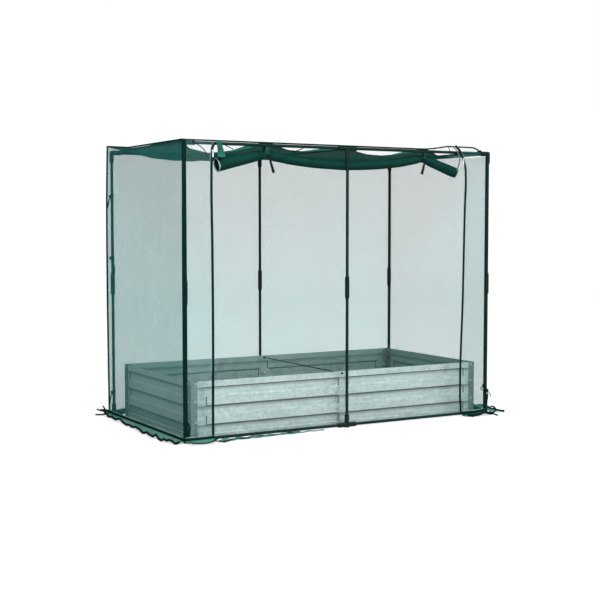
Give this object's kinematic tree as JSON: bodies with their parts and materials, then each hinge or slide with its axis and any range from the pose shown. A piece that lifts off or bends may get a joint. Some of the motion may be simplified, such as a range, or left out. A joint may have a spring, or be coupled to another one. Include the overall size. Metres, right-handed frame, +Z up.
{
  "type": "netted crop cage with raised bed",
  "caption": "Push-fit tube cage with a fine net cover and a rolled-up zipped front door, standing over a corrugated galvanised raised bed.",
  "frame": {"origin": "on the ground, at the centre of the plan", "axes": "+X along the long side, left to right as seen from the door side; +Y from the door to the back; +Z up"},
  "size_m": [2.1336, 1.2336, 1.5164],
  "materials": {
    "tube_green": "dark green powder coat, satin",
    "fitting_plastic": "moulded black-green plastic",
    "coupler_plastic": "moulded black-green plastic",
    "galvanised_panel": "hot-dip galvanised, fine spangle",
    "galvanised_angle": "galvanised, duller than the panels",
    "zinc_fastener": "zinc plated",
    "black_steel": "black coated",
    "net_wall": "fine green mesh, see-through",
    "net_roof": "green mesh seen at a grazing angle, dense",
    "net_rolled": "green mesh rolled up, opaque",
    "skirt_fabric": "woven green flap",
    "binding_tape": "dark green woven tape",
    "zip_tape": "dark green zip tape with moulded teeth",
    "zip_slider_metal": "painted die-cast slider",
    "zip_pull_metal": "bright plated pull"
  },
  "bodies": {
    "cage": {"base_corner_fittings": "fitting_plastic", "base_middle_fittings": "fitting_plastic", "base_rail_back_left": "tube_green", "base_rail_back_right": "tube_green", "base_rail_front_left": "tube_green", "base_rail_front_right": "tube_green", "base_rail_left": "tube_green", "base_rail_right": "tube_green", "bed_bolts": "zinc_fastener", "bed_brace_nuts": "black_steel", "bed_brace_rod": "black_steel", "bed_corner_angles_inner": "galvanised_angle", "bed_corner_angles_outer": "galvanised_angle", "bed_nuts": "zinc_fastener", "bed_panel_back_left": "galvanised_panel", "bed_panel_back_right": "galvanised_panel", "bed_panel_front_left": "galvanised_panel", "bed_panel_front_right": "galvanised_panel", "bed_panel_left": "galvanised_panel", "bed_panel_right": "galvanised_panel", "ground_skirt": "skirt_fabric", "net_back": "net_wall", "net_front_left": "net_wall", "net_front_right": "net_wall", "net_left": "net_wall", "net_right": "net_wall", "net_roof": "net_roof", "post_back_left_lower": "tube_green", "post_back_left_upper": "tube_green", "post_back_mid_lower": "tube_green", "post_back_mid_upper": "tube_green", "post_back_right_lower": "tube_green", "post_back_right_upper": "tube_green", "post_couplers": "coupler_plastic", "post_front_left_lower": "tube_green", "post_front_left_upper": "tube_green", "post_front_mid_lower": "tube_green", "post_front_mid_upper": "tube_green", "post_front_right_lower": "tube_green", "post_front_right_upper": "tube_green", "post_ties": "binding_tape", "top_corner_fittings": "fitting_plastic", "top_crossbar": "tube_green", "top_middle_fittings": "fitting_plastic", "top_rail_back_left": "tube_green", "top_rail_back_right": "tube_green", "top_rail_front_left": "tube_green", "top_rail_front_right": "tube_green", "top_rail_left": "tube_green", "top_rail_right": "tube_green", "zipper_left": "zip_tape", "zipper_right": "zip_tape"},
    "rolled_door": {"door_roll": "net_rolled", "door_ties": "binding_tape"},
    "slider_left": {"zip_slider_left": "zip_slider_metal"},
    "pull_left": {"zip_pull_left": "zip_pull_metal"},
    "slider_right": {"zip_slider_right": "zip_slider_metal"},
    "pull_right": {"zip_pull_right": "zip_pull_metal"}
  },
  "joints": [
    {"name": "door_swing", "type": "hinge", "parent": "cage", "child": "rolled_door", "pos_m": [0, -0.5, 1.5], "axis": [1, 0, 0], "range_deg": [0, 20]},
    {"name": "slider_left_travel", "type": "slide", "parent": "cage", "child": "slider_left", "axis": [0, 0, -1], "range_m": [0, 1.4]},
    {"name": "pull_left_flap", "type": "hinge", "parent": "slider_left", "child": "pull_left", "pos_m": [-0.804, -0.5199, 1.461], "axis": [-1, 0, 0], "range_deg": [0, 150]},
    {"name": "slider_right_travel", "type": "slide", "parent": "cage", "child": "slider_right", "axis": [0, 0, -1], "range_m": [0, 1.4]},
    {"name": "pull_right_flap", "type": "hinge", "parent": "slider_right", "child": "pull_right", "pos_m": [0.76, -0.5199, 1.461], "axis": [-1, 0, 0], "range_deg": [0, 150]}
  ]
}
